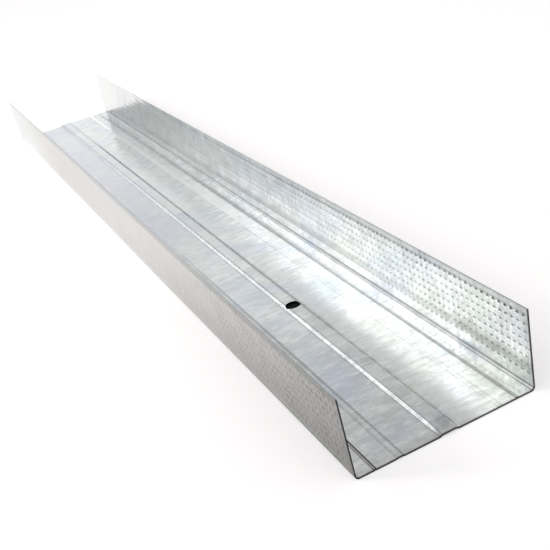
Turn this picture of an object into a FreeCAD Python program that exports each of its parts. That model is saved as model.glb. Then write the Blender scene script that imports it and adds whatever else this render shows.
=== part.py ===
import FreeCAD, Part
import math
import os
import Sketcher

# Drywall track: one length of thin galvanised strip, rolled into a U.
# X runs across the web, Y along the track and Z up. The web lies on Z = 0 and both flanges stand up.
# The section is drawn as the line of the strip's outer face and is then given its thickness inwards,
# so the ribs of the web stand up inside the channel and leave hollows under it.

DIMENSIONS = {
    "track_length": 536.0,
    "web_width": 72.0,           # over the outer faces, at the foot of the flanges
    "flange_height": 32.0,
    "flange_lean": 1.35,         # degrees that each flange opens outwards
    "gauge": 0.5,
    "bend_radius": 1.2,          # inside, between web and flange
    "rib_offset": 0.6,           # to the right of the middle of the web
    "rib_height": 0.9,
    "rib_flat": 4.8,             # level part of the rib's underside
    "rib_wall_angle": 36.0,      # degrees
    "rib_radius": 0.8,           # inside, at the four folds of the rib
    "edge_bead_offset": 28.6,    # from the middle of the web, on both sides
    "edge_bead_width": 1.4,
    "edge_bead_height": 0.14,
    "left_bead_offset": 18.8,
    "left_bead_width": 4.4,
    "left_bead_height": 0.25,
    "right_bead_offset": 21.3,
    "right_bead_width": 3.0,
    "right_bead_height": 0.08,
    "hole_diameter": 6.8,
    "hole_from_end": 117.5,
}
LEFT, RIGHT = -1, 1
AXIS, ORIGIN = -1, (-1, 1)
START, END = 1, 2


def add_dimension_sheet(doc):
    """Put the driving dimensions in a sheet, one row each, with the name as the alias."""
    sheet = doc.addObject("Spreadsheet::Sheet", "dims")
    for row, (name, value) in enumerate(DIMENSIONS.items(), start=1):
        sheet.set(f"A{row}", name)
        sheet.set(f"B{row}", str(value))
        sheet.setAlias(f"B{row}", name)
    doc.recompute()


class SectionLine:
    """A chain of straight runs and arcs, each tangent to the one before, drawn from left to right."""

    def __init__(self, sketch, x, z):
        self.sketch = sketch
        self.point = FreeCAD.Vector(x, z, 0)
        self.last = None

    def add(self, curve, entry, leave):
        """Add a curve to the sketch and join it to the end of the chain."""
        index = self.sketch.addGeometry(curve, False)
        if self.last:
            self.constrain("Tangent", *self.last, index, entry)
        self.last = (index, leave)
        return index

    def run(self, length, heading):
        """Add a straight run of a length at a heading in degrees."""
        start = self.point
        self.point = start + polar(length, heading)
        return self.add(Part.LineSegment(start, self.point), START, END)

    def turn(self, radius, heading, next_heading):
        """Add an arc that turns from one heading to the next, leftwards when the heading grows."""
        side = 90 if next_heading > heading else -90
        centre = self.point + polar(radius, heading + side)
        first, second = math.radians(heading - side), math.radians(next_heading - side)
        self.point = centre + polar(radius, next_heading - side)
        circle = Part.Circle(centre, FreeCAD.Vector(0, 0, 1), radius)
        if side > 0:
            return self.add(Part.ArcOfCircle(circle, first, second), START, END)
        return self.add(Part.ArcOfCircle(circle, second, first), END, START)

    def flat_to(self, x):
        """Add a stretch of web that lies on the floor line and ends at x."""
        flat = self.run(x - self.point.x, 0)
        self.constrain("Horizontal", flat)
        self.constrain("PointOnObject", flat, START, AXIS)
        return flat

    def constrain(self, kind, *geometry):
        """Add a constraint that has no size."""
        self.sketch.addConstraint(Sketcher.Constraint(kind, *geometry))

    def drive(self, name, formula, value, kind, *geometry):
        """Add a constraint whose size comes from the sheet; value is where the solver starts."""
        index = self.sketch.addConstraint(Sketcher.Constraint(kind, *geometry, value))
        self.sketch.renameConstraint(index, name)
        self.sketch.setExpression(f"Constraints.{name}", formula)

    def drive_x(self, name, formula, x, *point):
        """Drive how far a point is from the middle of the web."""
        pair = (*point, *ORIGIN) if x < 0 else (*ORIGIN, *point)
        self.drive(name, formula, abs(x), "DistanceX", *pair)


def polar(length, heading):
    """Give the step of a length at a heading in degrees."""
    angle = math.radians(heading)
    return FreeCAD.Vector(length * math.cos(angle), length * math.sin(angle), 0)


def half_tangent(degrees):
    """Give how far an arc of radius 1 starts before the corner that it rounds."""
    return math.tan(math.radians(degrees) / 2)


def add_flange(line, side):
    """Draw one flange and the bend at its foot, from the top on the left and to the top on the right."""
    dim = DIMENSIONS
    name = "left" if side == LEFT else "right"
    turn = 90 - dim["flange_lean"]
    radius = dim["bend_radius"] + dim["gauge"]
    lean = math.radians(dim["flange_lean"])
    length = dim["flange_height"] / math.cos(lean) - radius * half_tangent(turn)
    if side == LEFT:
        flange, top = line.run(length, -turn), START
        bend = line.turn(radius, -turn, 0)
    else:
        line.flat_to(dim["web_width"] / 2 - radius * half_tangent(turn))
        bend = line.turn(radius, 0, turn)
        flange, top = line.run(length, turn), END
    top_x = dim["web_width"] / 2 + dim["flange_height"] * math.tan(lean)
    top_formula = "dims.web_width / 2 + dims.flange_height * tan(dims.flange_lean * 1 deg)"
    line.drive_x(f"{name}_top", top_formula, side * top_x, flange, top)
    line.drive(f"{name}_height", "dims.flange_height", dim["flange_height"], "DistanceY", *ORIGIN, flange, top)
    angle_formula = f"{side} * (90 deg - dims.flange_lean * 1 deg)"
    line.drive(f"{name}_angle", angle_formula, math.radians(side * turn), "Angle", flange)
    line.drive(f"{name}_bend", "dims.bend_radius + dims.gauge", radius, "Radius", bend)


def add_bead(line, kind, side):
    """Draw a low round bead: a foot arc, a crown arc and a foot arc of one radius."""
    width, height = DIMENSIONS[f"{kind}_width"], DIMENSIONS[f"{kind}_height"]
    centre = side * DIMENSIONS[f"{kind}_offset"]
    radius = (width ** 2 / 4 + height ** 2) / (4 * height)
    slope = math.degrees(2 * math.atan(2 * height / width))
    line.flat_to(centre - width / 2)
    foot = line.turn(radius, 0, slope)
    crown = line.turn(radius, slope, -slope)
    far_foot = line.turn(radius, -slope, 0)
    line.constrain("Equal", foot, crown)
    line.constrain("Equal", crown, far_foot)
    name = f"{kind}_on_{'left' if side == LEFT else 'right'}"
    half = f"{side} * dims.{kind}_width / 2"
    line.drive_x(f"{name}_foot", f"dims.{kind}_offset - {half}", centre - width / 2, foot, START)
    line.drive_x(f"{name}_far_foot", f"dims.{kind}_offset + {half}", centre + width / 2, far_foot, END)
    radius_formula = f"(dims.{kind}_width ^ 2 / 4 + dims.{kind}_height ^ 2) / (4 * dims.{kind}_height)"
    line.drive(f"{name}_radius", radius_formula, radius, "Radius", foot)


def add_rib(line):
    """Draw the flat-topped rib near the middle of the web."""
    dim = DIMENSIONS
    left, right = dim["rib_offset"] - dim["rib_flat"] / 2, dim["rib_offset"] + dim["rib_flat"] / 2
    slope = dim["rib_wall_angle"]
    foot_radius, shoulder_radius = dim["rib_radius"] + dim["gauge"], dim["rib_radius"]
    fold = half_tangent(slope)
    run_out = dim["rib_height"] / math.tan(math.radians(slope))
    wall_length = dim["rib_height"] / math.sin(math.radians(slope)) - (foot_radius + shoulder_radius) * fold
    line.flat_to(left - run_out - (foot_radius + shoulder_radius) * fold)
    folds = [line.turn(foot_radius, 0, slope)]
    wall = line.run(wall_length, slope)
    folds.append(line.turn(shoulder_radius, slope, 0))
    top = line.run(dim["rib_flat"], 0)
    folds.append(line.turn(shoulder_radius, 0, -slope))
    far_wall = line.run(wall_length, -slope)
    folds.append(line.turn(foot_radius, -slope, 0))
    line.constrain("Horizontal", top)
    line.drive("rib_rise", "dims.rib_height", dim["rib_height"], "DistanceY", *ORIGIN, top, START)
    line.drive_x("rib_left", "dims.rib_flat / 2 - dims.rib_offset", left, top, START)
    line.drive_x("rib_right", "dims.rib_flat / 2 + dims.rib_offset", right, top, END)
    line.drive("rib_wall", "dims.rib_wall_angle * 1 deg", math.radians(slope), "Angle", wall)
    line.drive("rib_far_wall", "-dims.rib_wall_angle * 1 deg", math.radians(-slope), "Angle", far_wall)
    for number, fold_arc in enumerate(folds):
        formula = "dims.rib_radius" if number in (1, 2) else "dims.rib_radius + dims.gauge"
        radius = shoulder_radius if number in (1, 2) else foot_radius
        line.drive(f"rib_fold_{number}", formula, radius, "Radius", fold_arc)


def draw_section(doc):
    """Draw the outer line of the section in the XZ plane, from the left flange's top to the right one's."""
    sketch = doc.addObject("Sketcher::SketchObject", "section_line")
    sketch.Placement = FreeCAD.Placement(FreeCAD.Vector(), FreeCAD.Rotation(FreeCAD.Vector(1, 0, 0), 90))
    lean = math.radians(DIMENSIONS["flange_lean"])
    top_x = DIMENSIONS["web_width"] / 2 + DIMENSIONS["flange_height"] * math.tan(lean)
    line = SectionLine(sketch, -top_x, DIMENSIONS["flange_height"])
    add_flange(line, LEFT)
    add_bead(line, "edge_bead", LEFT)
    add_bead(line, "left_bead", LEFT)
    add_rib(line)
    add_bead(line, "right_bead", RIGHT)
    add_bead(line, "edge_bead", RIGHT)
    add_flange(line, RIGHT)
    doc.recompute()
    return sketch


def roll_track(doc, sketch):
    """Thicken the section line inwards and carry it along the length, the same way to both ends."""
    strip = doc.addObject("Part::Offset2D", "strip_section")
    strip.Source = sketch
    strip.Mode = "Skin"
    strip.Fill = True
    strip.setExpression("Value", "dims.gauge")
    rolled = doc.addObject("Part::Extrusion", "rolled_strip")
    rolled.Base = strip
    rolled.DirMode = "Custom"
    rolled.Dir = FreeCAD.Vector(0, 1, 0)
    rolled.Solid = True
    rolled.Symmetric = True
    rolled.setExpression("LengthFwd", "dims.track_length")
    doc.recompute()
    return rolled


def punch_hole(doc, rolled):
    """Punch the fixing hole down through the rib, near the front end."""
    punch = doc.addObject("Part::Cylinder", "punch")
    punch.setExpression("Radius", "dims.hole_diameter / 2")
    punch.setExpression("Height", "2 * (dims.rib_height + dims.gauge)")
    punch.setExpression("Placement.Base.x", "dims.rib_offset")
    punch.setExpression("Placement.Base.y", "dims.hole_from_end - dims.track_length / 2")
    track = doc.addObject("Part::Cut", "track")
    track.Base = rolled
    track.Tool = punch
    doc.recompute()
    return track


def check(doc, sketch, track):
    """Stop if any object failed, the section is loose or the track isn't one sound solid."""
    for item in doc.Objects:
        if "Invalid" in item.State or "Error" in item.State:
            raise RuntimeError(f"{item.Label} failed: {item.State}")
    if not sketch.FullyConstrained:
        raise RuntimeError("the section line is not fully constrained")
    shape = track.Shape
    if shape.isNull() or not shape.isValid() or len(shape.Solids) != 1:
        raise RuntimeError("the track is not one valid solid")


def main():
    doc = FreeCAD.newDocument("drywall_track")
    add_dimension_sheet(doc)
    sketch = draw_section(doc)
    rolled = roll_track(doc, sketch)
    track = punch_hole(doc, rolled)
    track.Label = "track"
    check(doc, sketch, track)
    os.makedirs("parts", exist_ok=True)
    track.Shape.exportStep(f"parts/{track.Label}.step")
    box = track.Shape.BoundBox
    print(f"track {box.XLength:.2f} x {box.YLength:.2f} x {box.ZLength:.2f} mm, {track.Shape.Volume:.0f} mm3")


main()
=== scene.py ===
import math

import bpy
import numpy as np
from bpy.props import FloatProperty, FloatVectorProperty, IntProperty, PointerProperty
from mathutils import Matrix, Vector


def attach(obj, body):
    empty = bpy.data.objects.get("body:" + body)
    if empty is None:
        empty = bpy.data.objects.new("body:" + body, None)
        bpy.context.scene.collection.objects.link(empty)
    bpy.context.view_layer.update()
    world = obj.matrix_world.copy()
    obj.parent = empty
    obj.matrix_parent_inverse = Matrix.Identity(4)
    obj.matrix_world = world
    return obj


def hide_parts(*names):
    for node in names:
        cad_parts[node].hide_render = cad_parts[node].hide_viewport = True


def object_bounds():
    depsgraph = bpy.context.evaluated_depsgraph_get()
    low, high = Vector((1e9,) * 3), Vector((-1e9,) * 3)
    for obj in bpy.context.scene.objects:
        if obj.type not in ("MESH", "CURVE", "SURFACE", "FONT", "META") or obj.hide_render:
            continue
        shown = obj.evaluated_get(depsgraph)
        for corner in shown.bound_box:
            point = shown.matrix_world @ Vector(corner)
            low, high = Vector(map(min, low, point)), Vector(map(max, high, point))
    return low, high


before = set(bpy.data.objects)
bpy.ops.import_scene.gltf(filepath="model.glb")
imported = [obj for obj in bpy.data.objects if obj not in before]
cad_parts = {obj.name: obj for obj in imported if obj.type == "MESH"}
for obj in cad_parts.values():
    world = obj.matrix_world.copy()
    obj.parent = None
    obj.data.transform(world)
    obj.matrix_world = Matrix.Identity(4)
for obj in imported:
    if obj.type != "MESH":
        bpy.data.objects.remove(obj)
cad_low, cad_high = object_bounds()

bl_info = {
    "name": "Drywall Track",
    "version": (1, 0, 0),
    "blender": (4, 5, 0),
    "location": "3D View > Sidebar > Track",
    "description": "Rolls a knurled galvanised track from strip and sets it on a pale floor",
    "category": "Add Mesh",
}

LEFT, RIGHT = -1, 1
IMAGE_SIZE = 550


def length(name, description, default):
    """A length in metres that shows in the scene's own unit."""
    return FloatProperty(name=name, description=description, default=default, unit="LENGTH", precision=5)


def angle(name, description, degrees):
    """An angle that is written in degrees and kept in radians."""
    return FloatProperty(name=name, description=description, default=math.radians(degrees), subtype="ANGLE")


def share(name, description, default):
    """A number from 0 to 1."""
    return FloatProperty(name=name, description=description, default=default, min=0, max=1, subtype="FACTOR")


def colour(name, description, default):
    """A linear colour."""
    return FloatVectorProperty(
        name=name, description=description, default=default, min=0, max=1, subtype="COLOR")


class TRACK_PG_sizes(bpy.types.PropertyGroup):
    """Sizes of the rolled strip."""
    track_length: length("Length", "From end to end", cad_high.y - cad_low.y)
    web_width: length("Web width", "Over the outer faces, at the foot of the flanges", 0.072)
    flange_height: length("Flange height", "From the floor to the outer top edge", 0.032)
    flange_lean: angle("Flange lean", "How far each flange opens outwards", 1.35)
    gauge: length("Gauge", "Thickness of the strip", 0.0005)
    bend_radius: length("Bend radius", "Inside, between web and flange", 0.0012)
    rib_offset: length("Rib offset", "To the right of the middle of the web", 0.0006)
    rib_height: length("Rib height", "Rise of the middle rib", 0.0009)
    rib_flat: length("Rib flat", "Level part of the rib's underside", 0.0048)
    rib_wall_angle: angle("Rib wall angle", "Slope of the rib's walls", 36)
    rib_radius: length("Rib radius", "Inside, at the folds of the rib", 0.0008)
    edge_bead_offset: length("Edge bead offset", "From the middle of the web, on both sides", 0.0286)
    edge_bead_width: length("Edge bead width", "Over its feet", 0.0014)
    edge_bead_height: length("Edge bead height", "Rise of the edge beads", 0.00014)
    left_bead_offset: length("Left bead offset", "From the middle of the web", 0.0188)
    left_bead_width: length("Left bead width", "Over its feet", 0.0044)
    left_bead_height: length("Left bead height", "Rise of the left bead", 0.00025)
    right_bead_offset: length("Right bead offset", "From the middle of the web", 0.0213)
    right_bead_width: length("Right bead width", "Over its feet", 0.003)
    right_bead_height: length("Right bead height", "Rise of the right bead", 0.00008)
    hole_diameter: length("Hole diameter", "Fixing hole in the rib", 0.0068)
    hole_from_end: length("Hole from end", "From the near end to the hole's middle", 0.1175)
    knurl_pitch: length("Knurl pitch", "From dimple to dimple, both ways", 0.00323)
    knurl_depth: length("Knurl depth", "How deep each dimple is pressed", 0.00009)
    knurl_rows: IntProperty(name="Knurl rows", description="Rows of dimples up a flange", default=8, min=1)
    knurl_top_row: length("Knurl top row", "Height of the highest row", 0.0289)
    knurl_first: length("Knurl first column", "From the near end to the first dimple", 0.0025)
    sheared_length: length("Sheared length", "How far the shear has flattened the near end", 0.008)
    sheared_height: share("Sheared height", "Share of the rib's height that is left there", 0.55)


class TRACK_PG_finish(bpy.types.PropertyGroup):
    """Colours and gloss of the zinc coat, and of the painted shade and highlights on it."""
    bright_zinc: colour("Bright zinc", "Clean coat", (0.836, 0.848, 0.845))
    dull_zinc: colour("Dull zinc", "Clouded coat", (0.722, 0.737, 0.738))
    blue_zinc: colour("Blue zinc", "Coat with a blue cast", (0.67, 0.725, 0.79))
    green_zinc: colour("Green zinc", "Coat with a green cast", (0.77, 0.805, 0.755))
    rubbed_zinc: colour("Rubbed zinc", "Dark specks of the mottled coat", (0.6, 0.62, 0.617))
    # Pressed zinc: the bright specks of the mottled coat, and also the colour of the painted highlights
    pressed_zinc_and_highlight: colour("Pressed zinc", "Coat that the rolls have smoothed", (0.97, 0.98, 0.98))
    # The outer faces run from dark to light: painted shade near the punched end and low down, painted light
    # upwards and towards the far end
    outside_dark: colour("Outside, dark", "Handled outer faces, towards the punched end", (0.07, 0.07, 0.067))
    outside_light: colour("Outside, light", "Outer faces, towards the other end", (0.655, 0.646, 0.638))
    # Painted shade: the colour laid into the dimples and creases, and how much of the coat it hides in a
    # dimple and in a slight crease
    painted_shade_colour: colour("Grime", "Oily dirt in the dimples and creases", (0.06, 0.058, 0.045))
    dimple_shade_share: share("Grime in dimples", "How much of the coat it hides there", 0.58)
    crease_shade_share: share("Grime in creases", "How much of the coat it hides in a slight crease", 0.17)
    # Bare steel on the cuts, and also the colour of the painted shade along both ends
    cut_steel_and_end_shade: colour("Cut steel", "Bare steel on the cut edges", (0.04, 0.04, 0.04))
    bright_roughness: share("Bright roughness", "Roughness of the clean coat", 0.16)
    dull_roughness: share("Dull roughness", "Roughness of the clouded coat", 0.235)
    bend_roughness: share("Bend roughness", "How much rougher the rolled lines are", 0.16)
    outside_roughness: share("Outside roughness", "How much rougher the outer faces are", 0.12)
    cut_roughness: share("Cut roughness", "How much rougher the cut edges are", 0.4)
    ripple_strength: share("Ripple strength", "How much the fine ripple of the coat shows", 0.14)
    ripple_depth: length("Ripple depth", "Height of the coat's fine ripple", 0.0002)


class TRACK_PG_stage(bpy.types.PropertyGroup):
    """Floor, light and camera."""
    floor_colour: colour("Floor", "Pale floor", (0.88, 0.86, 0.855))
    floor_glow: share("Floor glow", "How much of the floor's white doesn't need light", 0.37)
    camera_place: FloatVectorProperty(
        name="Camera place", description="Where the camera stands", default=(-0.12494, -0.48942, 0.19524),
        subtype="TRANSLATION")
    camera_azimuth: angle("Camera azimuth", "Turn to the left of the length", -19.60982)
    camera_elevation: angle("Camera elevation", "How far the camera looks down", 26.18147)
    camera_roll: angle("Camera roll", "Turn about the line of sight", -13.70768)
    camera_focal: FloatProperty(
        name="Focal length", description="In widths of the image", default=940.056 / IMAGE_SIZE, min=0.1)


# The section


def trace_section(start, steps, arc_count):
    """Points and headings of a tangent chain: a step (length, 0) goes straight on, and a step (radius, turn)
    is an arc whose heading grows evenly by that turn."""
    point, heading = np.array(start, float), 0.0
    points, headings = [point[None]], [np.zeros(1)]
    for size, turn in steps:
        angles = heading + turn * np.linspace(0, 1, arc_count + 1)[1:] if turn else np.array([heading])
        if turn:
            side = math.copysign(size, turn)
            centre = point + side * np.array([-math.sin(heading), math.cos(heading)])
            stretch = centre + side * np.stack([np.sin(angles), -np.cos(angles)], 1)
        else:
            stretch = (point + size * np.array([math.cos(heading), math.sin(heading)]))[None]
        points.append(stretch)
        headings.append(angles)
        point, heading = stretch[-1], angles[-1]
    return np.concatenate(points), np.concatenate(headings)


def bead_steps(width, height):
    """A low round bead: a foot arc, a crown arc and a foot arc of one radius."""
    radius = (width ** 2 / 4 + height ** 2) / (4 * height)
    slope = 2 * math.atan(2 * height / width)
    return [(radius, slope), (radius, -2 * slope), (radius, slope)]


def rib_steps(sizes):
    """The flat-topped rib and its width: a wall with a fold at each end, the level top, and the same going
    down."""
    slope = sizes.rib_wall_angle
    foot, shoulder = sizes.rib_radius + sizes.gauge, sizes.rib_radius
    fold = (foot + shoulder) * math.tan(slope / 2)
    wall = sizes.rib_height / math.sin(slope) - fold
    width = sizes.rib_flat + 2 * (sizes.rib_height / math.tan(slope) + fold)
    steps = [(foot, slope), (wall, 0), (shoulder, -slope), (sizes.rib_flat, 0),
             (shoulder, -slope), (wall, 0), (foot, slope)]
    return steps, width


def bend_run(sizes):
    """How far a bend reaches in from its flange's foot: its radius times the tangent of half its turn."""
    return (sizes.bend_radius + sizes.gauge) * math.tan((math.pi / 2 - sizes.flange_lean) / 2)


def web_line(sizes, arc_count):
    """The underside of the web between the two bends, with flats between the beads and the rib."""
    edge = sizes.web_width / 2 - bend_run(sizes)
    rib, rib_width = rib_steps(sizes)
    edge_bead = (sizes.edge_bead_width, bead_steps(sizes.edge_bead_width, sizes.edge_bead_height))
    left_bead = (sizes.left_bead_width, bead_steps(sizes.left_bead_width, sizes.left_bead_height))
    right_bead = (sizes.right_bead_width, bead_steps(sizes.right_bead_width, sizes.right_bead_height))
    features = [
        (-sizes.edge_bead_offset, *edge_bead),
        (-sizes.left_bead_offset, *left_bead),
        (sizes.rib_offset, rib_width, rib),
        (sizes.right_bead_offset, *right_bead),
        (sizes.edge_bead_offset, *edge_bead),
    ]
    steps, x = [], -edge
    for middle, width, feature in features:
        steps += [(middle - width / 2 - x, 0)] + feature
        x = middle + width / 2
    steps.append((edge - x, 0))
    return trace_section((-edge, 0.0), steps, arc_count)


def inward(headings):
    """Unit vectors to the left of each heading, which is the inside of the channel."""
    return np.stack([-np.sin(headings), np.cos(headings)], -1)


# Steps of an arc of the web in the mesh, of one that heights are read off, and of the bend beside a flange
MESH_ARC = 4
FINE_ARC = 24
BEND_ARC = 7
# The least distance between two lines of the web's mesh, and a length that counts as nothing
LINE_GAP = 8e-5
NO_LENGTH = 1e-9


def web_columns(sizes):
    """The places across the web where the mesh has a line: the folds of the underside, those of the upper
    face on the rib, and five lines through the hole. A line too close to its neighbour is left out."""
    radius = sizes.hole_diameter / 2
    points, headings = web_line(sizes, MESH_ARC)
    inside = points + sizes.gauge * inward(headings)
    on_rib = np.abs(inside[:, 0] - sizes.rib_offset) < rib_steps(sizes)[1] / 2
    through_hole = sizes.rib_offset + radius * np.array([-0.5, 0.0, 0.5])
    x = np.concatenate([points[:, 0], inside[on_rib, 0], through_hole])
    x = np.unique(np.round(x, decimals=7))
    x = x[np.abs(np.abs(x - sizes.rib_offset) - radius) > LINE_GAP]
    x = x[np.concatenate([[True], np.diff(x) > LINE_GAP])]
    return np.sort(np.concatenate([x, sizes.rib_offset + radius * np.array([-1.0, 1.0])]))


def web_heights(sizes, x):
    """Heights of the web's lower and upper face at x, read off finely traced lines."""
    points, headings = web_line(sizes, FINE_ARC)
    inside = points + sizes.gauge * inward(headings)
    return np.interp(x, points[:, 0], points[:, 1]), np.interp(x, inside[:, 0], inside[:, 1])


def bend_points(sizes, count):
    """Outer and inner points of the right bend, from the web up to the flange, on arcs about one centre."""
    angles = np.linspace(0, math.pi / 2 - sizes.flange_lean, count + 1)
    outer = sizes.bend_radius + sizes.gauge
    centre = np.array([sizes.web_width / 2 - bend_run(sizes), outer])
    ray = np.stack([np.sin(angles), -np.cos(angles)], 1)
    return centre + outer * ray, centre + sizes.bend_radius * ray


# The mesh


SURFACES = OUTSIDE, INSIDE, CUT_END, TOP_EDGE, HOLE_WALL = range(5)
# How much bare steel shows on the top edges, where the strip was slit
SLIT_BARE = 0.2


class StripMesh:
    """Collects vertices and faces of the strip, patch by patch, with shared vertices along the joins. Each
    face belongs to one of the strip's surfaces, and the shading is smooth within a surface and sharp
    between two."""

    def __init__(self):
        self.points, self.pressed, self.faces = [], [], []
        self.count = 0

    def add_points(self, points, pressed=0.0):
        """Add an array of points, with how far each lies in a dimple, and give back their numbers in the same
        layout."""
        flat = points.reshape(-1, 3)
        self.pressed.append(np.broadcast_to(pressed, points.shape[:-1]).ravel())
        numbers = self.count + np.arange(len(flat)).reshape(points.shape[:-1])
        self.points.append(flat)
        self.count += len(flat)
        return numbers

    def add_faces(self, corners, turned, surface):
        """Add faces by their corners; a turned patch is written the other way round."""
        corners = corners.reshape(-1, corners.shape[-1])
        self.faces.append((corners[:, ::-1] if turned else corners, surface))

    def add_grid(self, numbers, turned, surface):
        """Add the faces of a grid: each takes a vertex and its right, diagonal and upper neighbours."""
        corners = np.stack([numbers[:-1, :-1], numbers[:-1, 1:], numbers[1:, 1:], numbers[1:, :-1]], -1)
        self.add_faces(corners, turned, surface)

    def add_seam(self, first, second, turned, surface):
        """Add the faces between two lines of equally many vertices."""
        self.add_grid(np.stack([first, second]), turned, surface)

    def add_stitch(self, fine, fine_y, coarse, coarse_y, turned, surface):
        """Join two lines of different spacing: each fine edge goes to the coarse vertex nearest to its
        middle, and each coarse edge to the fine vertex where that choice changes."""
        nearest = np.searchsorted((coarse_y[1:] + coarse_y[:-1]) / 2, (fine_y[1:] + fine_y[:-1]) / 2)
        change = np.searchsorted(nearest, np.arange(1, len(coarse)))
        fans = np.stack([fine[:-1], fine[1:], coarse[nearest]], -1)
        fills = np.stack([coarse[1:], coarse[:-1], fine[change]], -1)
        self.add_faces(np.concatenate([fans, fills]), turned, surface)

    def corner_normals(self, points):
        """A normal for each corner of each face: the sum of the normals of the faces of one surface that
        meet at the vertex, each as long as its face is large, so that flats stay flat up to the folds."""
        sums = np.zeros((len(SURFACES), len(points), 3))
        for corners, surface in self.faces:
            diagonal = points[corners[:, 2]] - points[corners[:, 0]]
            other = points[corners[:, -1]] - points[corners[:, 1]]
            area = np.cross(diagonal, other)
            for corner in corners.T:
                np.add.at(sums[surface], corner, area)
        normals = np.concatenate([sums[surface][corners.ravel()] for corners, surface in self.faces])
        return normals / np.linalg.norm(normals, axis=1, keepdims=True)

    def build(self, name):
        """Write the arrays into a mesh, with its normals and the marks that the finish reads."""
        points = np.concatenate(self.points)
        corners = np.concatenate([corners.ravel() for corners, surface in self.faces])
        sides = np.concatenate([np.full(len(corners), corners.shape[1]) for corners, surface in self.faces])
        surfaces = np.concatenate([np.full(len(corners), surface) for corners, surface in self.faces])
        mesh = bpy.data.meshes.new(name)
        mesh.vertices.add(len(points))
        mesh.vertices.foreach_set("co", points.astype(np.float32).ravel())
        mesh.loops.add(len(corners))
        mesh.loops.foreach_set("vertex_index", corners.astype(np.int32))
        mesh.polygons.add(len(sides))
        mesh.polygons.foreach_set("loop_start", (np.cumsum(sides) - sides).astype(np.int32))
        mesh.update(calc_edges=True)
        if mesh.validate():
            raise RuntimeError("the strip's mesh has faulty faces")
        mesh.shade_smooth()
        mesh.normals_split_custom_set(self.corner_normals(points).tolist())
        marks = {
            "cut_edge": np.isin(surfaces, (CUT_END, HOLE_WALL)) + SLIT_BARE * (surfaces == TOP_EDGE),
            "outside": surfaces == OUTSIDE,
        }
        for mark, values in marks.items():
            mesh.attributes.new(mark, "FLOAT", "FACE").data.foreach_set("value", values.astype(np.float32))
        pressed = np.concatenate(self.pressed).astype(np.float32)
        mesh.attributes.new("dimple", "FLOAT", "POINT").data.foreach_set("value", pressed)
        return mesh


# Cross lines of the web: over the sheared length, from there to the hole, around the hole and beyond it
SHEARED_ROWS = 7
BEFORE_ROWS = 5
HOLE_ROWS = 11
AFTER_ROWS = 14


def length_rows(sizes, near, hole):
    """Where the web's cross lines lie: close together at the sheared end and within a hole's width of the
    hole's middle, far apart elsewhere. The line through the middle of the hole counts once."""
    sheared = near + sizes.sheared_length * np.linspace(0, 1, SHEARED_ROWS)
    around = hole + sizes.hole_diameter * np.linspace(-1, 1, HOLE_ROWS)
    before = np.linspace(sheared[-1], around[0], BEFORE_ROWS)[1:-1]
    after = np.linspace(around[-1], near + sizes.track_length, AFTER_ROWS)[1:]
    return np.concatenate([sheared, before, around, after])


# Half the height and half the length of a dimple on the outer and the inner face, as shares of the pitch
KNURL_RIMS = ((0.4, 0.3), (0.165, 0.3))
# Size of a dimple's floor, as a share of its rim
KNURL_FLOOR = 0.43
# Lines of the mesh across a dimple, two on its rim and two on its floor
KNURL_LINES = 4
# From the middle of the outermost dimples to the edge of the knurl, as a share of the pitch
KNURL_MARGIN = 0.45
# Least and greatest depth of a dimple, as shares of the knurl's depth, and the start of their random numbers
KNURL_UNEVEN = (0.7, 1.15)
KNURL_SEED = 7


def knurl_lines(sizes, first, count, rim, margins):
    """The lines of each dimple, two on its rim and two on its floor, between a line at either margin. Also 1
    for each line that lies on a floor."""
    middles = first + sizes.knurl_pitch * np.arange(count)
    offsets = rim * sizes.knurl_pitch * np.array([-1, -KNURL_FLOOR, KNURL_FLOOR, 1])
    lines = (middles[:, None] + offsets).ravel()
    floor = np.tile([0.0, 1.0, 1.0, 0.0], count)
    return np.concatenate([margins[:1], lines, margins[1:]]), np.concatenate([[0], floor, [0]])


def rib_left(sizes, near, rows):
    """Share of the rib's height that is left at each cross line, growing smoothly over the sheared length."""
    step = np.clip((rows - near) / sizes.sheared_length, 0, 1)
    return sizes.sheared_height + (1 - sizes.sheared_height) * step * step * (3 - 2 * step)


def places_along(sizes, hole, rows, half_chord):
    """Where each vertex of the web lies along the track: on its cross line, but around the hole the lines
    spread evenly from the hole's edge to a hole's width from its middle."""
    reach = sizes.hole_diameter
    out = np.abs(rows - hole)[:, None] / reach
    spread = half_chord + (reach - half_chord) * out
    return np.where(out < 1, hole + np.sign(rows - hole)[:, None] * spread, rows[:, None])


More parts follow.
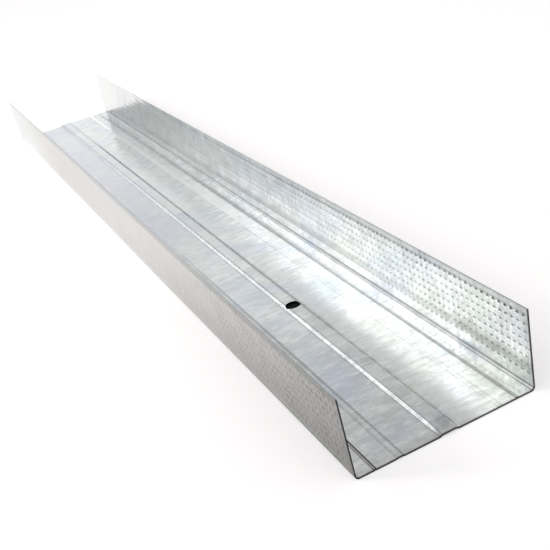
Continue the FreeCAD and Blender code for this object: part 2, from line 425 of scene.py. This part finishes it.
def add_web(strip, sizes, near, hole, rows):
    """Web and bends, lower and upper face. Across, the faces are heights over x. Along, they are straight,
    except that the rib sinks towards the sheared end and the lines beside the hole end on its circle."""
    x = web_columns(sizes)
    radius = sizes.hole_diameter / 2
    half_chord = np.sqrt(np.maximum(radius ** 2 - (x - sizes.rib_offset) ** 2, 0))
    on_rib = np.abs(x - sizes.rib_offset) < rib_steps(sizes)[1] / 2 + sizes.gauge
    kept = np.where(on_rib, rib_left(sizes, near, rows)[:, None], 1.0)
    middle_row = int(np.argmin(np.abs(rows - hole)))
    y = places_along(sizes, hole, rows, half_chord)
    y[middle_row] = hole - half_chord
    numbers = []
    for face, (height, bend) in enumerate(zip(web_heights(sizes, x), bend_points(sizes, BEND_ARC))):
        floor = sizes.gauge * face
        z = floor + (height - floor) * kept
        web = strip.add_points(np.stack([np.broadcast_to(x, y.shape), y, z], -1))
        open_columns = half_chord > NO_LENGTH
        far_rim = web[middle_row].copy()
        rim_points = np.stack([x, hole + half_chord, z[middle_row]], -1)[open_columns]
        far_rim[open_columns] = strip.add_points(rim_points)
        sides = []
        for side in (LEFT, RIGHT):
            points = np.empty((len(rows), len(bend) - 1, 3))
            points[..., 0] = side * bend[1:, 0]
            points[..., 1] = rows[:, None]
            points[..., 2] = bend[1:, 1]
            sides.append(strip.add_points(points))
        lower = np.concatenate([sides[0][:, ::-1], web, sides[1]], 1)
        upper_first = np.concatenate([sides[0][middle_row, ::-1], far_rim, sides[1][middle_row]])
        upper = np.concatenate([upper_first[None], lower[middle_row + 1:]])
        surface = (OUTSIDE, INSIDE)[face]
        strip.add_grid(lower[:middle_row + 1], face == 0, surface)
        strip.add_grid(upper, face == 0, surface)
        rim = np.abs(x - sizes.rib_offset) <= radius + NO_LENGTH
        numbers.append({"grid": lower, "near_rim": web[middle_row][rim], "far_rim": far_rim[rim]})
    strip.add_seam(numbers[0]["near_rim"], numbers[1]["near_rim"], True, HOLE_WALL)
    strip.add_seam(numbers[0]["far_rim"], numbers[1]["far_rim"], False, HOLE_WALL)
    return [face["grid"] for face in numbers]


def add_flange(strip, sizes, side, near, rows, web):
    """One flange, outer and inner face: a leaning plane with the dimples pressed inwards, stitched to the
    bend below and to its top edge above. The near and far ends of its lines are given back for the cuts."""
    lean = sizes.flange_lean
    up = np.array([side * math.sin(lean), 0.0, math.cos(lean)])
    into = np.array([-side * math.cos(lean), 0.0, math.sin(lean)])
    foot = np.array([side * sizes.web_width / 2, 0.0, 0.0])
    lowest = sizes.knurl_top_row - sizes.knurl_pitch * (sizes.knurl_rows - 1)
    margin = sizes.knurl_pitch * KNURL_MARGIN
    margins_up = np.array([lowest - margin, sizes.knurl_top_row + margin])
    margins_along = np.array([near, near + sizes.track_length])
    count = int((sizes.track_length - sizes.knurl_first) / sizes.knurl_pitch - KNURL_MARGIN) + 1
    uneven = np.random.default_rng(KNURL_SEED).uniform(*KNURL_UNEVEN, (sizes.knurl_rows, count))
    top = sizes.flange_height / math.cos(lean)
    ends, tops = [], []
    for face in (0, 1):
        turned = (face == 0) == (side == RIGHT)
        plane = foot + face * sizes.gauge * into
        rim_up, rim_along = KNURL_RIMS[face]
        q, q_floor = knurl_lines(sizes, lowest, sizes.knurl_rows, rim_up, margins_up)
        y, y_floor = knurl_lines(sizes, near + sizes.knurl_first, count, rim_along, margins_along)
        pressed = q_floor[:, None] * y_floor
        pressed[1:-1, 1:-1] *= np.kron(uneven, np.ones((KNURL_LINES, KNURL_LINES)))
        points = plane + q[:, None, None] * up + sizes.knurl_depth * pressed[..., None] * into
        points[..., 1] = y
        grid = strip.add_points(points, pressed)
        edge_points = np.tile(plane + top * up, (len(rows), 1))
        edge_points[:, 1] = rows
        edge = strip.add_points(edge_points)
        bend = web[face][:, -1 if side == RIGHT else 0]
        surface = (OUTSIDE, INSIDE)[face]
        strip.add_grid(grid, not turned, surface)
        strip.add_stitch(grid[-1], y, edge, rows, not turned, surface)
        strip.add_stitch(grid[0], y, bend, rows, turned, surface)
        tops.append(edge)
        ends.append([np.concatenate([grid[:, end], edge[[end]]]) for end in (0, -1)])
    strip.add_seam(tops[0], tops[1], side == LEFT, TOP_EDGE)
    return ends


def roll_strip(sizes):
    """The whole track as one closed mesh: web and bends, both flanges, and the cut faces at the two ends."""
    near = -sizes.track_length / 2
    hole = near + sizes.hole_from_end
    rows = length_rows(sizes, near, hole)
    strip = StripMesh()
    web = add_web(strip, sizes, near, hole, rows)
    left = add_flange(strip, sizes, LEFT, near, rows, web)
    right = add_flange(strip, sizes, RIGHT, near, rows, web)
    for number, end in enumerate((0, -1)):
        lines = [
            np.concatenate([left[face][number][::-1], web[face][end], right[face][number]])
            for face in (0, 1)
        ]
        strip.add_seam(lines[0], lines[1], end == -1, CUT_END)
    return strip.build("track")


# The finish


# Share of a band's half width that has its full strength
BAND_CORE = 0.4


class NodeWriter:
    """Adds nodes to a node tree and links them by socket name."""

    def __init__(self, tree):
        self.tree = tree
        tree.nodes.clear()

    def add(self, kind, settings=None, **inputs):
        """Add a node with settings, and set or link its inputs by name, or by number after the letter n."""
        node = self.tree.nodes.new(kind)
        for name, value in (settings or {}).items():
            setattr(node, name, value)
        for name, value in inputs.items():
            number = name[1:]
            socket = node.inputs[int(number)] if number.isdigit() else node.inputs[name.replace("_", " ")]
            if isinstance(value, bpy.types.NodeSocket):
                self.tree.links.new(value, socket)
            else:
                socket.default_value = value
        return node

    def math(self, operation, *values):
        """Add a Math node and give back its result."""
        inputs = {f"n{i}": value for i, value in enumerate(values)}
        return self.add("ShaderNodeMath", {"operation": operation}, **inputs).outputs[0]

    def chain(self, operation, result, *values):
        """Join values from first to last by one operation."""
        for value in values:
            result = self.math(operation, result, value)
        return result

    def total(self, *values):
        """The sum of some values."""
        return self.chain("ADD", *values)

    def product(self, *values):
        """The product of some values."""
        return self.chain("MULTIPLY", *values)

    def highest(self, *values):
        """The highest of some values."""
        return self.chain("MAXIMUM", *values)

    def rest_of(self, share):
        """What a share leaves of 1."""
        return self.math("SUBTRACT", 1.0, share)

    def ramp(self, value, low, high, to_low=0.0, to_high=1.0):
        """Map a value from one range to another, smoothly at both ends."""
        node = self.add("ShaderNodeMapRange", {"interpolation_type": "SMOOTHSTEP"},
                        n0=value, n1=low, n2=high, n3=to_low, n4=to_high)
        return node.outputs[0]

    def band(self, value, middle, half):
        """1 where the value is near the middle, falling to 0 a half width away on either side."""
        away = self.math("ABSOLUTE", self.math("SUBTRACT", value, middle))
        return self.ramp(away, half * BAND_CORE, half, 1.0, 0.0)

    def mix(self, factor, first, second):
        """Mix two colours."""
        node = self.add("ShaderNodeMix", {"data_type": "RGBA"}, n0=factor, n6=first, n7=second)
        return node.outputs[2]


class ZincWriter(NodeWriter):
    """Writes the nodes of the zinc coat, and holds the coordinates and marks that its layers share. Places
    are in metres on the track, and strengths are shares of 1."""

    def __init__(self, tree, sizes):
        super().__init__(tree)
        self.near = -sizes.track_length / 2
        self.place = self.add("ShaderNodeTexCoord").outputs["Object"]
        self.across, self.along, self.up = self.add("ShaderNodeSeparateXYZ", Vector=self.place).outputs
        self.cut, self.outside, self.dimple = [
            self.add("ShaderNodeAttribute", {"attribute_name": mark}).outputs["Fac"]
            for mark in ("cut_edge", "outside", "dimple")
        ]
        self.on_flange = self.ramp(self.up, 0.002, 0.005)
        self.cloud = self.noise(scale=70, detail=4, roughness=0.6)
        self.marked = self.from_near(0.128, 0.428, 1.0, 0.45)

    def noise(self, scale, detail, roughness, stretch=(1, 1, 1)):
        """Noise on the track's own coordinates, stretched along its axes."""
        mapped = self.add("ShaderNodeMapping", Vector=self.place, Scale=stretch).outputs[0]
        node = self.add("ShaderNodeTexNoise", Vector=mapped, Scale=scale, Detail=detail, Roughness=roughness)
        return node.outputs["Fac"]

    def from_near(self, start, end, first, last):
        """Go from a first to a last value between two distances from the near end."""
        return self.ramp(self.along, self.near + start, self.near + end, first, last)


def opaque(rgb):
    """A colour with full alpha."""
    return (*rgb, 1.0)


# The middle of a noise, and where the coat goes from dull to bright
NOISE_MIDDLE = 0.5
COAT_RANGE = (0.39, 0.61)


def coat_strokes(n):
    """How bright the coat is: clouds and fine strokes across the strip, weaker towards the far end."""
    stroke = n.noise(scale=150, detail=5, roughness=0.7, stretch=(0.8, 3.4, 1))
    blend = n.total(n.product(n.cloud, 0.4), n.product(stroke, 0.6))
    return n.math("MULTIPLY_ADD", n.math("SUBTRACT", blend, NOISE_MIDDLE), n.marked, NOISE_MIDDLE)


def tinted_zinc(n, finish, coat):
    """Dull to bright zinc, with a blue or a green cast in large patches. The cast leans to blue away from the
    near end and left of the rib, and to green on the flanges."""
    zinc = n.mix(n.ramp(coat, *COAT_RANGE), opaque(finish.dull_zinc), opaque(finish.bright_zinc))
    left_lean = n.product(n.ramp(n.across, -0.004, -0.001, 0.07, 0.0), n.from_near(0.03, 0.08, 0.0, 1.0))
    lean = n.total(n.from_near(0.0, 0.25, -0.025, 0.05), n.product(n.on_flange, -0.09), left_lean)
    cast = n.total(n.noise(scale=26, detail=4, roughness=0.6), lean)
    zinc = n.mix(n.ramp(cast, 0.49, 0.66, 0.0, 0.8), zinc, opaque(finish.blue_zinc))
    return n.mix(n.ramp(cast, 0.47, 0.33, 0.0, 0.7), zinc, opaque(finish.green_zinc))


def mottled_zinc(n, finish, zinc):
    """Dark and bright specks near the punched end and, away from it, on the right. Larger dark patches near
    the punched end, most on the left, and on the far part of the flanges."""
    far = n.from_near(0.128, 0.208, 0.0, 1.0)
    far_right = n.product(n.ramp(n.across, 0.004, 0.014), far)
    speckled = n.highest(n.from_near(0.04, 0.14, 1.0, 0.25), far_right)
    speckle = n.noise(scale=160, detail=4, roughness=0.7, stretch=(0.8, 1.8, 1))
    dark = n.product(n.ramp(speckle, NOISE_MIDDLE, 0.66, 0.0, 0.6), speckled)
    bright = n.product(n.ramp(speckle, NOISE_MIDDLE, 0.34, 0.0, 0.6), speckled,
                       n.math("MULTIPLY_ADD", n.on_flange, -0.5, 1.0))
    zinc = n.mix(dark, zinc, opaque(finish.rubbed_zinc))
    zinc = n.mix(bright, zinc, opaque(finish.pressed_zinc_and_highlight))
    near_left = n.product(n.from_near(0.08, 0.2, 1.0, 0.3), n.ramp(n.across, 0.003, 0.012, 1.0, 0.3))
    patched = n.highest(near_left, n.product(n.on_flange, far))
    patch = n.noise(scale=85, detail=2, roughness=0.5, stretch=(1, 1.5, 1))
    patches = n.product(n.ramp(patch, NOISE_MIDDLE, 0.64, 0.0, 0.42), patched)
    return n.mix(patches, zinc, opaque(finish.rubbed_zinc))


def highlighted_zinc(n, finish, sizes, zinc):
    """Painted highlights in the pressed zinc colour: a strip right of the rib, the crown of the right bead
    and, a little, the far end of the flanges."""
    # Painted highlights: a bright strip right of the rib, a bright crown on the right bead, a paler far end
    # of the flanges
    strip = n.product(n.ramp(n.across, 0.0045, 0.0065), n.ramp(n.across, 0.01, 0.018, 0.34, 0.0),
                      n.from_near(0.09, 0.15, 1.0, 0.4))
    crown = n.product(n.band(n.across, sizes.right_bead_offset + 0.0007, 0.0017),
                      n.from_near(0.14, 0.24, 0.0, 0.9))
    zinc = n.mix(n.highest(strip, crown), zinc, opaque(finish.pressed_zinc_and_highlight))
    flange_end = n.product(n.on_flange, n.from_near(0.446, 0.506, 0.0, 0.35))
    return n.mix(flange_end, zinc, opaque(finish.pressed_zinc_and_highlight))


def painted_outside_shading(n, finish, sizes, zinc):
    """The outer faces: painted shade at the near end and low down, painted light upwards and towards the far
    end, where they turn nearly to bright zinc, with a fine grain."""
    grain = n.product(n.math("SUBTRACT", n.noise(scale=800, detail=2, roughness=0.6), NOISE_MIDDLE), 0.2)
    # Painted shade and light: darker near the punched end and low down, lighter upwards and towards the far
    # end
    lighter = n.total(n.along, n.product(n.up, 2.9), grain)
    outside_shading = n.mix(n.ramp(lighter, n.near - 0.1, n.near + 0.31),
                    opaque(finish.outside_dark), opaque(finish.outside_light))
    # Painted light: the last 16 cm of the outer faces turn nearly to the bright zinc colour
    far_end = n.from_near(sizes.track_length - 0.16, sizes.track_length, 0.0, 0.95)
    outside_shading = n.mix(far_end, outside_shading, opaque(finish.bright_zinc))
    return n.mix(n.product(n.outside, 0.95), zinc, outside_shading)


# Middle and reach in metres of each patch laid over the coat, how much of the coat it hides, and its colour
COAT_PATCHES = (
    ((0.0357, -0.236, 0.0095), (0.005, 0.026, 0.006), 0.42, (0.34, 0.34, 0.25)),
    ((0.0357, -0.262, 0.006), (0.005, 0.012, 0.009), 0.32, (0.36, 0.41, 0.38)),
    ((0.0315, -0.252, 0.0005), (0.005, 0.024, 0.003), 0.08, (0.42, 0.46, 0.46)),
    ((0.0345, -0.230, 0.002), (0.003, 0.009, 0.004), 0.45, (0.30, 0.36, 0.42)),
    ((0.0357, 0.090, 0.016), (0.006, 0.12, 0.022), 0.26, (0.44, 0.47, 0.40)),
    ((-0.0035, -0.262, 0.0012), (0.003, 0.018, 0.003), 0.2, (0.4, 0.4, 0.4)),
    ((0.0010, -0.263, 0.001), (0.004, 0.006, 0.004), 0.35, (0.24, 0.25, 0.26)),
    ((-0.0130, -0.215, 0.0005), (0.007, 0.024, 0.004), 0.36, (0.68, 0.74, 0.89)),
    ((-0.0140, 0.110, 0.0005), (0.022, 0.200, 0.004), 0.4, (0.77, 0.765, 0.83)),
    # The next two white patches are painted highlights
    ((0.0250, 0.005, 0.0005), (0.004, 0.100, 0.004), 0.5, (0.97, 0.98, 0.98)),
    ((0.0055, 0.045, 0.0008), (0.008, 0.100, 0.004), 0.4, (0.97, 0.98, 0.98)),
    ((0.0325, 0.165, 0.0005), (0.004, 0.070, 0.003), 0.3, (0.50, 0.53, 0.53)),
)
# Share of a patch's reach that it hides evenly, and how ragged its edge is
PATCH_CORE = 0.3
PATCH_RAGGED = 2.0


def patched_zinc(n, zinc):
    """Darker and tinted patches and two painted highlights, each an ellipsoid of its reach with a ragged
    edge.
    """
    ragged = n.product(n.math("SUBTRACT", n.cloud, NOISE_MIDDLE), PATCH_RAGGED)
    for middle, reach, hidden, patch_colour in COAT_PATCHES:
        apart = n.add("ShaderNodeVectorMath", {"operation": "SUBTRACT"}, n0=n.place, n1=middle).outputs[0]
        shares = n.add("ShaderNodeVectorMath", {"operation": "DIVIDE"}, n0=apart, n1=reach).outputs[0]
        away = n.add("ShaderNodeVectorMath", {"operation": "LENGTH"}, n0=shares).outputs["Value"]
        zinc = n.mix(n.ramp(n.total(away, ragged), PATCH_CORE, 1.0, hidden, 0.0), zinc, opaque(patch_colour))
    return zinc


def painted_dimple_shade(n, finish, sizes):
    """How much of the coat the painted shade in the dimples hides: most near the punched end and in the top
    row of the inner faces, and farther along in their upper rows. The outer dimples get less."""
    top = sizes.knurl_top_row
    upper_rows = n.product(n.ramp(n.up, top - 0.0074, top - 0.0034), n.from_near(0.12, 0.44, 0.8, 0.1),
                           n.rest_of(n.outside))
    kept = n.highest(n.from_near(-0.02, 0.2, 1.0, 0.2), upper_rows)
    uneven = n.ramp(n.cloud, 0.35, 0.65, 1.3, 0.7)
    inner_height = n.math("SUBTRACT", n.up, n.product(n.outside, 0.01))
    top_row = n.ramp(inner_height, top - 0.0021, top - 0.0011, 1.0, 1.4)
    # Painted shade in the dimples
    shaded = n.product(n.dimple, n.math("MULTIPLY_ADD", n.outside, -0.3, 1.0))
    return n.product(shaded, finish.dimple_shade_share, top_row, kept, uneven)


def painted_crease_shade(n, finish, sizes):
    """How much of the coat the painted shade hides: along the edge beads, with a wider shade beside the right
    one farther on, in the right fold and below the outer top edges. Also darker bands above the knurl and at
    the sheared end."""
    foot = sizes.web_width / 2
    # Painted shade along the beads, in the right fold and below the outer top edges; darker bands above the
    # knurl and at the sheared end
    left_bead = n.product(n.band(n.across, 0.0004 - sizes.edge_bead_offset, 0.0006), 4.5)
    right_bead = n.product(n.band(n.across, sizes.edge_bead_offset - 0.0002, 0.0012),
                           n.from_near(0.03, 0.12, 1.3, 0.6))
    right_shade = n.product(n.band(n.across, sizes.edge_bead_offset + 0.0009, 0.0016),
                            n.from_near(0.09, 0.2, 0.0, 2.2), n.from_near(0.25, 0.36, 1.0, 0.55))
    right_fold = n.product(n.band(n.up, 0.0014, 0.0007), n.ramp(n.across, foot - 0.0015, foot - 0.0011),
                           n.from_near(0.01, 0.06, 1.9, 0.2))
    above_knurl = n.product(n.band(n.up, sizes.knurl_top_row + 0.0009, 0.0006),
                            n.from_near(0.05, 0.42, 1.2, 0.3))
    outer_margin = n.product(n.band(n.up, sizes.flange_height - 0.0013, 0.0014), n.outside,
                             n.from_near(0.05, sizes.track_length, 2.7, 0.4))
    sheared_end = n.from_near(0.0, 0.006, 0.8, 0.0)
    creases = n.highest(left_bead, right_bead, right_shade, right_fold, above_knurl, outer_margin,
                        sheared_end)
    return n.product(creases, finish.crease_shade_share)


def bare_steel_and_end_shade(n, sizes):
    """How much bare steel shows, on the cuts and faintly on the slit edge of the left flange, and the painted
    shade on the top face along both cut ends."""
    # Painted shade on the top face just inside both cut ends
    near_end_shade = n.from_near(0.0002, 0.0007, 0.8, 0.0)
    far_end_shade = n.from_near(sizes.track_length - 0.0007, sizes.track_length - 0.0002, 0.0, 0.5)
    top = sizes.flange_height
    slit_edge = n.product(n.ramp(n.up, top - 0.00007, top - 0.00002), n.ramp(n.across, 0.0, -0.03),
                          n.from_near(0.03, 0.25, 0.42, 0.05))
    return n.highest(n.cut, slit_edge, near_end_shade, far_end_shade)


def rolled_lines(n, sizes):
    """Where the rolls have roughened the coat: first on the walls of the rib alone, then on those, the left
    bead and the folds beside the flanges."""
    from_rib = n.math("ABSOLUTE", n.math("SUBTRACT", n.across, sizes.rib_offset))
    rib_walls = n.band(from_rib, (sizes.rib_flat + rib_steps(sizes)[1]) / 4, 0.0016)
    left_bead = n.product(n.band(n.across, -sizes.left_bead_offset, sizes.left_bead_width * 0.6),
                          n.from_near(0.03, 0.07, 0.0, 0.7))
    foot = sizes.web_width / 2
    folds = n.product(n.ramp(n.math("ABSOLUTE", n.across), foot - 0.0017, foot - 0.0011),
                      n.ramp(n.up, 0.0014, 0.0026, 1.3, 0.0))
    return rib_walls, n.highest(rib_walls, left_bead, folds)


def zinc_finish(finish, sizes):
    """Hot-dipped zinc in layers: strokes and casts, mottling, painted highlights, painted shade and light
    on the outer faces, darker and tinted patches, painted shade in the dimples and creases, and dark bare
    steel on the cuts with painted shade beside them. It is finely rippled, and rougher on the rolled lines."""
    material = bpy.data.materials.new("galvanised_steel")
    material.use_nodes = True
    n = ZincWriter(material.node_tree, sizes)
    coat = coat_strokes(n)
    zinc = tinted_zinc(n, finish, coat)
    zinc = mottled_zinc(n, finish, zinc)
    zinc = highlighted_zinc(n, finish, sizes, zinc)
    zinc = painted_outside_shading(n, finish, sizes, zinc)
    zinc = patched_zinc(n, zinc)
    # Painted shade in the dimples and creases, then the cuts' bare steel with painted shade along both ends
    darkening = n.highest(painted_dimple_shade(n, finish, sizes), painted_crease_shade(n, finish, sizes))
    zinc = n.mix(darkening, zinc, opaque(finish.painted_shade_colour))
    zinc = n.mix(bare_steel_and_end_shade(n, sizes), zinc, opaque(finish.cut_steel_and_end_shade))
    rib_walls, rolled = rolled_lines(n, sizes)
    roughness = n.total(n.ramp(coat, *COAT_RANGE, finish.dull_roughness, finish.bright_roughness),
                        n.product(n.cut, finish.cut_roughness),
                        n.product(n.outside, finish.outside_roughness),
                        n.product(rolled, finish.bend_roughness))
    smooth = n.highest(rib_walls, n.product(n.on_flange, 0.6))
    ripple = n.noise(scale=170, detail=4, roughness=0.65, stretch=(0.5, 1.8, 1))
    bump = n.add("ShaderNodeBump", Strength=n.product(n.rest_of(smooth), n.marked, finish.ripple_strength),
                 Distance=finish.ripple_depth, Height=ripple)
    shader = n.add("ShaderNodeBsdfPrincipled", Base_Color=zinc, Metallic=1.0, Roughness=roughness,
                   Normal=bump.outputs[0])
    n.add("ShaderNodeOutputMaterial", Surface=shader.outputs[0])
    return material


# The stage


WHITE = (1, 1, 1, 1)
# From the middle of the floor to its sides, in metres, and the lines of its mesh each way
FLOOR_REACH = 8.0
FLOOR_LINES = 9
# Half the size of the painted shadow under the track, as shares of the web's width and of the length; its
# colour
PAINTED_SHADOW_WIDTH = 0.2
PAINTED_SHADOW_LENGTH = 0.47
PAINTED_SHADOW_COLOUR = (0.02, 0.02, 0.02)


def floor_mesh(reach, count):
    """A flat square on Z = 0: a grid of two parameters from minus to plus its reach."""
    line = np.linspace(-reach, reach, count)
    x, y = np.meshgrid(line, line)
    points = np.stack([x, y, np.zeros_like(x)], -1).reshape(-1, 3)
    number = np.arange(count * count).reshape(count, count)
    quads = np.stack([number[:-1, :-1], number[:-1, 1:], number[1:, 1:], number[1:, :-1]], -1).reshape(-1, 4)
    mesh = bpy.data.meshes.new("floor")
    mesh.from_pydata(points.tolist(), [], quads.tolist())
    return mesh


def floor_finish(stage, sizes):
    """Pale matt floor that is white to the camera and in reflections and keeps the track's shadow. Under the
    middle of the track, where the hole shows it, a painted shadow makes it nearly black."""
    material = bpy.data.materials.new("pale_floor")
    material.use_nodes = True
    n = NodeWriter(material.node_tree)
    place = n.add("ShaderNodeTexCoord").outputs["Object"]
    parts = n.add("ShaderNodeSeparateXYZ", Vector=place)
    from_middle = [n.math("ABSOLUTE", parts.outputs[axis]) for axis in (0, 1)]
    # Painted shadow: nearly black and without glow under the middle of the track
    painted_shadow = n.product(n.math("LESS_THAN", from_middle[0], sizes.web_width * PAINTED_SHADOW_WIDTH),
                        n.math("LESS_THAN", from_middle[1], sizes.track_length * PAINTED_SHADOW_LENGTH))
    paint = n.mix(painted_shadow, opaque(stage.floor_colour), opaque(PAINTED_SHADOW_COLOUR))
    matt = n.add("ShaderNodeBsdfDiffuse", Color=paint)
    path = n.add("ShaderNodeLightPath").outputs
    seen = n.highest(path["Is Camera Ray"], path["Is Glossy Ray"], path["Is Transmission Ray"])
    glow = n.add("ShaderNodeEmission", Color=WHITE,
                 Strength=n.product(seen, n.rest_of(painted_shadow), stage.floor_glow))
    both = n.add("ShaderNodeAddShader", n0=matt.outputs[0], n1=glow.outputs[0])
    n.add("ShaderNodeOutputMaterial", Surface=both.outputs[0])
    return material


def heading(azimuth, elevation):
    """A unit vector from degrees to the right of the length and degrees above the horizon."""
    azimuth, elevation = math.radians(azimuth), math.radians(elevation)
    return Vector((math.sin(azimuth) * math.cos(elevation), math.cos(azimuth) * math.cos(elevation),
                   math.sin(elevation)))


# Azimuth, elevation, angle to the edge, width of the soft edge (degrees) and strength of each soft box
SOFT_BOXES = (
    (-25.5, 33, 8, 6, 1.85),
    (22.5, 15, 4, 6, 0.12),
    (23, 38, 12, 7, 0.58),
    (-16, 21, 7, 7, 0.32),
    (12, 8, 7, 6, 0.27),
    (-38, 14, 7, 7, 0.65),
)
# The same for the dark flag, which takes its share of the light away
FLAG = (33, 24, 7.5, 5.5, 1.0)
# Strength of the light low and high in the studio, at its left and at its right
LOW_LIGHT = (0.08, 0.85)
HIGH_LIGHT = (0.19, 0.0)
# Where a direction turns from left to right, from low to high, and from the camera's side to the back
LEFT_TO_RIGHT = (-0.35, 0.07)
LOW_TO_HIGH = (0.24, 0.64)
FRONT_TO_BACK = (-0.4, 0.1)
# Strength of the light from behind the camera
FRONT_LIGHT = 0.9
# Strength of the light from above, where it starts going up, and where it ends towards the back
TOP_LIGHT = 0.5
TOP_START = (0.45, 0.7)
TOP_END = (0.38, 0.6)
# What the lamps face, and the place, width in metres and power in watts of each
LAMP_AIM = (0, 0.1, 0)
SIDE_LAMPS = (
    ((-0.75, 0.25, 0.12), 0.24, 1.2),
    ((-0.75, 0.25, 0.62), 0.24, 1.95),
    ((-0.2, 0.95, 0.35), 0.24, 0.08),
)


def soft_disc(n, direction, azimuth, elevation, edge, soft, power):
    """A round patch of the sky: full power up to its edge, and then smoothly down to nothing."""
    towards = n.add("ShaderNodeVectorMath", {"operation": "DOT_PRODUCT"},
                    n0=direction, n1=heading(azimuth, elevation)).outputs["Value"]
    return n.ramp(towards, math.cos(math.radians(edge + soft)), math.cos(math.radians(edge)), 0.0, power)


def studio_light(world):
    """Soft light that is strong low on the right and weak on the left and high up, with a dark flag in it. To
    it comes light from behind the camera, light from above, and soft boxes at the back."""
    world.use_nodes = True
    n = NodeWriter(world.node_tree)
    direction = n.add("ShaderNodeTexCoord").outputs["Generated"]
    to_right, to_back, upward = n.add("ShaderNodeSeparateXYZ", Vector=direction).outputs
    low = n.ramp(to_right, *LEFT_TO_RIGHT, *LOW_LIGHT)
    high = n.ramp(to_right, *LEFT_TO_RIGHT, *HIGH_LIGHT)
    around = n.add("ShaderNodeMix", n0=n.ramp(upward, *LOW_TO_HIGH), n2=low, n3=high).outputs[0]
    flag = soft_disc(n, direction, *FLAG)
    back = n.product(around, n.rest_of(flag), n.ramp(to_back, *FRONT_TO_BACK))
    front = n.ramp(to_back, *FRONT_TO_BACK, FRONT_LIGHT, 0.0)
    above = n.product(n.ramp(upward, *TOP_START), n.ramp(to_back, *TOP_END, TOP_LIGHT, 0.0))
    boxes = [soft_disc(n, direction, *box) for box in SOFT_BOXES]
    strength = n.total(back, n.highest(front, above), *boxes)
    light = n.add("ShaderNodeBackground", Color=WHITE, Strength=strength)
    n.add("ShaderNodeOutputWorld", Surface=light.outputs[0])


def side_lamps():
    """The square lamps, one low and one high on the left and a weak one at the back, which face the track."""
    lamps = []
    for number, (place, width, power) in enumerate(SIDE_LAMPS):
        light = bpy.data.lights.new(f"side_lamp_{number}", "AREA")
        light.size = width
        light.energy = power
        lamp = bpy.data.objects.new(f"side_lamp_{number}", light)
        turn = (Vector(place) - Vector(LAMP_AIM)).to_track_quat("Z", "Y").to_matrix().to_4x4()
        lamp.matrix_world = Matrix.Translation(place) @ turn
        lamps.append(lamp)
    return lamps


# Width of the camera's sensor in millimetres, and how near it sees in metres
SENSOR_WIDTH = 36.0
NEAR_SIGHT = 0.01


def aim_camera(stage):
    """The camera's matrix from where it stands, its azimuth, its elevation and its roll."""
    azimuth, elevation, roll = stage.camera_azimuth, stage.camera_elevation, stage.camera_roll
    back = Vector((math.sin(azimuth) * math.cos(elevation), -math.cos(azimuth) * math.cos(elevation),
                   math.sin(elevation)))
    right = Vector((math.cos(azimuth), math.sin(azimuth), 0))
    up = back.cross(right)
    turned_right = math.cos(roll) * right + math.sin(roll) * up
    turned_up = -math.sin(roll) * right + math.cos(roll) * up
    matrix = Matrix((turned_right, turned_up, back)).transposed().to_4x4()
    matrix.translation = Vector(stage.camera_place)
    return matrix


# The add-on


class TRACK_OT_roll(bpy.types.Operator):
    """Roll the track from strip and coat it with zinc"""
    bl_idname = "track.roll"
    bl_label = "Roll Track"

    def execute(self, context):
        mesh = roll_strip(context.scene.track_sizes)
        mesh.materials.append(zinc_finish(context.scene.track_finish, context.scene.track_sizes))
        track = bpy.data.objects.new("galvanised_track", mesh)
        context.scene.collection.objects.link(track)
        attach(track, "root")
        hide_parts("track")
        return {"FINISHED"}


class TRACK_OT_set_stage(bpy.types.Operator):
    """Lay the floor, light the studio and aim the camera"""
    bl_idname = "track.set_stage"
    bl_label = "Set Stage"

    def execute(self, context):
        scene = context.scene
        mesh = floor_mesh(FLOOR_REACH, FLOOR_LINES)
        mesh.materials.append(floor_finish(scene.track_stage, scene.track_sizes))
        floor = bpy.data.objects.new("floor", mesh)
        scene.collection.objects.link(floor)
        scene.world = bpy.data.worlds.new("studio")
        studio_light(scene.world)
        for lamp in side_lamps():
            scene.collection.objects.link(lamp)
        lens = bpy.data.cameras.new("camera")
        lens.sensor_width = SENSOR_WIDTH
        lens.lens = scene.track_stage.camera_focal * lens.sensor_width
        lens.clip_start = NEAR_SIGHT
        camera = bpy.data.objects.new("camera", lens)
        camera.matrix_world = aim_camera(scene.track_stage)
        scene.collection.objects.link(camera)
        scene.camera = camera
        scene.view_settings.view_transform = "Standard"
        return {"FINISHED"}


class TRACK_PT_workshop(bpy.types.Panel):
    """Sizes, finish and stage of the track"""
    bl_idname = "TRACK_PT_workshop"
    bl_label = "Drywall Track"
    bl_space_type = "VIEW_3D"
    bl_region_type = "UI"
    bl_category = "Track"

    def draw(self, context):
        for title, group in (("Sizes", "track_sizes"), ("Finish", "track_finish"), ("Stage", "track_stage")):
            settings = getattr(context.scene, group)
            box = self.layout.box()
            box.label(text=title)
            for name in settings.__annotations__:
                box.prop(settings, name)
        self.layout.operator(TRACK_OT_roll.bl_idname)
        self.layout.operator(TRACK_OT_set_stage.bl_idname)


GROUPS = {"track_sizes": TRACK_PG_sizes, "track_finish": TRACK_PG_finish, "track_stage": TRACK_PG_stage}
CLASSES = (*GROUPS.values(), TRACK_OT_roll, TRACK_OT_set_stage, TRACK_PT_workshop)


def register():
    for item in CLASSES:
        bpy.utils.register_class(item)
    for name, group in GROUPS.items():
        setattr(bpy.types.Scene, name, PointerProperty(type=group))


def unregister():
    for name in GROUPS:
        delattr(bpy.types.Scene, name)
    for item in reversed(CLASSES):
        bpy.utils.unregister_class(item)


def main():
    register()
    bpy.ops.track.roll()
    bpy.ops.track.set_stage()


if __name__ == "__main__":
    main()
